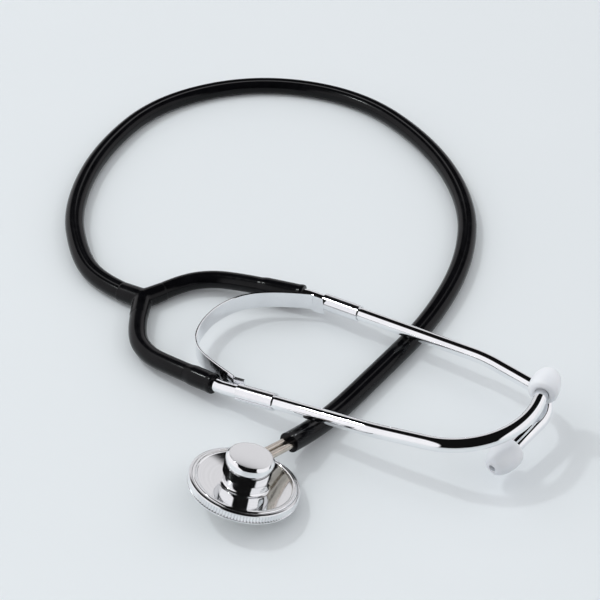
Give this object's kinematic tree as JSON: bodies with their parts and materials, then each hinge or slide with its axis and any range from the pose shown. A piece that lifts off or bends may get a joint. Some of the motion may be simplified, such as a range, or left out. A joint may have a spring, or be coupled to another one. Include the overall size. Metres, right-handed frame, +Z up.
{
  "type": "stethoscope",
  "caption": "Single-head stethoscope with a twin-bore hose, moulded Y, chromed ear tubes on a leaf spring, and mushroom ear tips, lying on a table.",
  "frame": {"origin": "on the table at the middle of the box round everything but the hose", "axes": "+Z up from the table; +X along the longer side of that box, from the spring's bow towards the ear tips; +Y away from the chestpiece, towards the hose's loop"},
  "size_m": [0.199, 0.2943, 0.0306],
  "materials": {
    "polished_aluminium": "turned and polished dish, mirror bright",
    "knurled_metal": "bright ring with a fine straight knurl",
    "hub_chrome": "mirror chrome with a softly brushed top",
    "nickel": "warm nickel plate",
    "diaphragm_plastic": "thin stiff sheet",
    "black_vinyl": "glossy soft black vinyl",
    "ear_tube_chrome": "mirror chrome",
    "spring_steel": "plated spring steel",
    "ear_tip_plastic": "white moulded plastic with a satin sheen"
  },
  "bodies": {
    "tubing": {"chestpiece_body": "polished_aluminium", "stem_hub": "hub_chrome", "hub_cap": "hub_chrome", "left_stem": "nickel", "right_stem": "nickel", "hose": "black_vinyl", "yoke": "black_vinyl", "left_leg": "black_vinyl", "right_leg": "black_vinyl", "leaf_spring": "spring_steel"},
    "left_arm": {"left_cuff": "black_vinyl", "left_ear_tube": "ear_tube_chrome", "left_spring_sleeve": "spring_steel"},
    "right_arm": {"right_cuff": "black_vinyl", "right_ear_tube": "ear_tube_chrome", "right_spring_sleeve": "spring_steel"},
    "left_tip": {"left_ear_tip": "ear_tip_plastic"},
    "right_tip": {"right_ear_tip": "ear_tip_plastic"},
    "ring": {"retaining_ring": "knurled_metal", "diaphragm": "diaphragm_plastic"}
  },
  "joints": [
    {"name": "left_arm_flex", "type": "hinge", "parent": "tubing", "child": "left_arm", "pos_m": [-0.05, 0.013, 0.009], "axis": [0.0002, -0.3059, -0.9521], "range_deg": [0, 22], "stiffness_Nm_per_rad": 1.1, "deforming": ["left_leg", "leaf_spring"]},
    {"name": "right_arm_flex", "type": "hinge", "parent": "tubing", "child": "right_arm", "pos_m": [-0.034, 0.049, 0.009], "axis": [0, 0, 1], "range_deg": [0, 22], "stiffness_Nm_per_rad": 1.1, "deforming": ["right_leg"]},
    {"name": "left_tip_turn", "type": "hinge", "parent": "left_arm", "child": "left_tip", "pos_m": [0.0794, -0.0139, 0.0246], "axis": [0.3842, 0.923, -0.0227], "continuous": true},
    {"name": "right_tip_turn", "type": "hinge", "parent": "right_arm", "child": "right_tip", "pos_m": [0.0609, -0.0407, 0.0116], "axis": [-0.6767, -0.7334, -0.0647], "continuous": true},
    {"name": "ring_turn", "type": "hinge", "parent": "tubing", "child": "ring", "pos_m": [-0.0311, -0.0495, 0.00615], "axis": [0.2223, 0.2147, 0.9511], "continuous": true}
  ]
}
